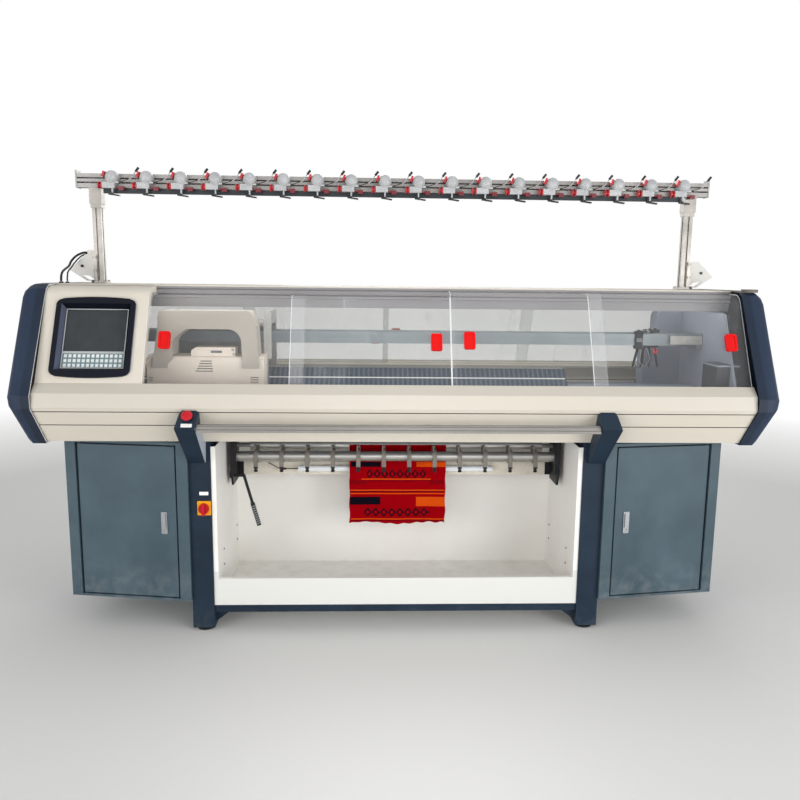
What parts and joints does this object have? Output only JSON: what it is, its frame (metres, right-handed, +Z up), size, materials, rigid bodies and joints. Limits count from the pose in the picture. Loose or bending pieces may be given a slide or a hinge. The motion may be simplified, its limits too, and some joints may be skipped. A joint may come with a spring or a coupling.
{
  "type": "flat knitting machine",
  "caption": "Computerised flat knitting machine with sloped needle beds, sliding carriage, clear sliding doors, yarn stand, take-down rollers, fabric bin and side cabinets.",
  "frame": {"origin": "centre of the machine's outline on the floor under the levelling feet", "axes": "+X along the machine to the right as seen by the operator, +Y to the rear, +Z up; the operator stands on the -Y side"},
  "size_m": [2.75, 1, 1.8042],
  "materials": {
    "leg_paint": "satin powder coat",
    "slate_paint": "textured powder coat",
    "cream_shell": "satin powder coat",
    "navy_cap": "fine leather grain moulding",
    "clear_sheet": "clear acrylic",
    "red_plastic": "gloss",
    "machined_steel": "ground",
    "aluminium_profile": "satin anodised",
    "casting": "painted casting",
    "black_metal": "satin black",
    "black_plastic": "matte",
    "rubber_black": "matte",
    "white_sheet": "gloss white",
    "screen_glass": "glossy display",
    "key_membrane": "membrane",
    "yellow_plate": "gloss",
    "knit": "fine rib knit",
    "grey_plastic": "satin",
    "lamp_white": "frosted"
  },
  "bodies": {
    "machine": {"left_leg_frame": "leg_paint", "right_leg_frame": "leg_paint", "bottom_beams": "leg_paint", "levelling_feet": "rubber_black", "bed_frame": "casting", "left_end_cap": "navy_cap", "right_end_cap": "navy_cap", "front_fascia": "cream_shell", "rear_fascia": "cream_shell", "top_beam": "cream_shell", "control_cover": "cream_shell", "screen_bezel": "navy_cap", "display": "screen_glass", "keypad": "key_membrane", "front_needle_bed": "machined_steel", "rear_needle_bed": "machined_steel", "yarn_rails": "machined_steel", "carriage_rails": "machined_steel", "drive_belt": "rubber_black", "drive_motor": "black_metal", "takedown_frame": "black_metal", "lamp_tube": "lamp_white", "fabric_bin": "white_sheet", "knitted_piece": "knit", "left_cabinet": "slate_paint", "right_cabinet": "slate_paint", "left_arm": "leg_paint", "right_arm": "leg_paint", "switch_plate": "yellow_plate", "yarn_beam": "aluminium_profile", "stand_posts": "aluminium_profile", "stop_units": "grey_plastic", "stop_caps": "red_plastic", "stand_cables": "rubber_black"},
    "left_front_door": {"front_door_left": "clear_sheet", "left_door_handles": "red_plastic"},
    "right_front_door": {"front_door_right": "clear_sheet", "right_door_handles": "red_plastic"},
    "left_rear_door": {"rear_door_left": "clear_sheet"},
    "right_rear_door": {"rear_door_right": "clear_sheet"},
    "carriage_unit": {"carriage": "aluminium_profile", "carriage_cover": "cream_shell", "carriage_bow": "cream_shell"},
    "feeder_1": {"yarn_feeder_1": "black_metal"},
    "feeder_2": {"yarn_feeder_2": "black_metal"},
    "feeder_3": {"yarn_feeder_3": "black_metal"},
    "feeder_4": {"yarn_feeder_4": "black_metal"},
    "drive_wheel": {"drive_pulley": "machined_steel"},
    "idler_wheel": {"idler_pulley": "machined_steel"},
    "main_roller": {"takedown_roller": "aluminium_profile"},
    "pressure_gate": {"pressure_shaft": "aluminium_profile", "pressure_arms": "grey_plastic"},
    "lever": {"release_lever": "black_metal"},
    "left_cab_door": {"left_cabinet_door": "slate_paint"},
    "right_cab_door": {"right_cabinet_door": "slate_paint"},
    "left_lock": {"left_latch": "machined_steel"},
    "right_lock": {"right_latch": "machined_steel"},
    "start_rod": {"start_bar": "aluminium_profile"},
    "stop_button": {"emergency_button": "red_plastic"},
    "main_knob": {"switch_knob": "red_plastic"}
  },
  "joints": [
    {"name": "left_door_slide", "type": "slide", "parent": "machine", "child": "left_front_door", "axis": [1, 0, 0], "range_m": [0, 1]},
    {"name": "right_door_slide", "type": "slide", "parent": "machine", "child": "right_front_door", "axis": [-1, 0, 0], "range_m": [0, 1]},
    {"name": "left_rear_door_slide", "type": "slide", "parent": "machine", "child": "left_rear_door", "axis": [1, 0, 0], "range_m": [0, 1]},
    {"name": "right_rear_door_slide", "type": "slide", "parent": "machine", "child": "right_rear_door", "axis": [-1, 0, 0], "range_m": [0, 1]},
    {"name": "carriage_slide", "type": "slide", "parent": "machine", "child": "carriage_unit", "axis": [1, 0, 0], "range_m": [0, 1.56]},
    {"name": "feeder_1_slide", "type": "slide", "parent": "machine", "child": "feeder_1", "axis": [-1, 0, 0], "range_m": [0, 1.5]},
    {"name": "feeder_2_slide", "type": "slide", "parent": "machine", "child": "feeder_2", "axis": [-1, 0, 0], "range_m": [0, 1.5]},
    {"name": "feeder_3_slide", "type": "slide", "parent": "machine", "child": "feeder_3", "axis": [-1, 0, 0], "range_m": [0, 1.5]},
    {"name": "feeder_4_slide", "type": "slide", "parent": "machine", "child": "feeder_4", "axis": [-1, 0, 0], "range_m": [0, 1.5]},
    {"name": "drive_wheel_spin", "type": "hinge", "parent": "machine", "child": "drive_wheel", "pos_m": [1.18, 0.255, 0.866], "axis": [0, 1, 0], "continuous": true},
    {"name": "idler_wheel_spin", "type": "hinge", "parent": "machine", "child": "idler_wheel", "pos_m": [-1.18, 0.255, 0.866], "axis": [0, 1, 0], "continuous": true},
    {"name": "main_roller_spin", "type": "hinge", "parent": "machine", "child": "main_roller", "pos_m": [0, 0.006, 0.671], "axis": [-1, 0, 0], "continuous": true},
    {"name": "release_lever_turn", "type": "hinge", "parent": "machine", "child": "lever", "pos_m": [-0.664, -0.082, 0.563], "axis": [-1, 0, 0], "range_deg": [0, 60]},
    {"name": "pressure_gate_turn", "type": "hinge", "parent": "machine", "child": "pressure_gate", "pos_m": [0, -0.076, 0.643], "axis": [1, 0, 0], "range_deg": [0, 10]},
    {"name": "left_cab_door_swing", "type": "hinge", "parent": "machine", "child": "left_cab_door", "pos_m": [-1.21207, -0.25809, 0.143], "axis": [0, 0, -1], "range_deg": [0, 105]},
    {"name": "right_cab_door_swing", "type": "hinge", "parent": "machine", "child": "right_cab_door", "pos_m": [1.21207, -0.25809, 0.143], "axis": [0, 0, 1], "range_deg": [0, 105]},
    {"name": "left_latch_turn", "type": "hinge", "parent": "left_cab_door", "child": "left_lock", "pos_m": [-0.88675, -0.31581, 0.439], "axis": [-0.1478, -0.989, 0], "range_deg": [0, 90]},
    {"name": "right_latch_turn", "type": "hinge", "parent": "right_cab_door", "child": "right_lock", "pos_m": [0.88675, -0.31581, 0.439], "axis": [0.1478, -0.989, 0], "range_deg": [-90, 0]},
    {"name": "start_bar_turn", "type": "hinge", "parent": "machine", "child": "start_rod", "pos_m": [0, -0.476, 0.837], "axis": [1, 0, 0], "range_deg": [-10, 10], "stiffness_Nm_per_rad": 20},
    {"name": "stop_button_press", "type": "slide", "parent": "machine", "child": "stop_button", "axis": [0, 0.7944, -0.6074], "range_m": [0, 0.006], "stiffness_N_per_m": 800},
    {"name": "main_knob_turn", "type": "hinge", "parent": "machine", "child": "main_knob", "pos_m": [-0.736, -0.315, 0.497], "axis": [0, 1, 0], "range_deg": [0, 90]}
  ],
  "couplings": [
    {"joint": "drive_wheel_spin", "follows": "carriage_slide", "rad_per_m": 23.81},
    {"joint": "idler_wheel_spin", "follows": "carriage_slide", "rad_per_m": 23.81},
    {"joint": "pressure_gate_turn", "follows": "release_lever_turn", "ratio": 0.16667}
  ]
}
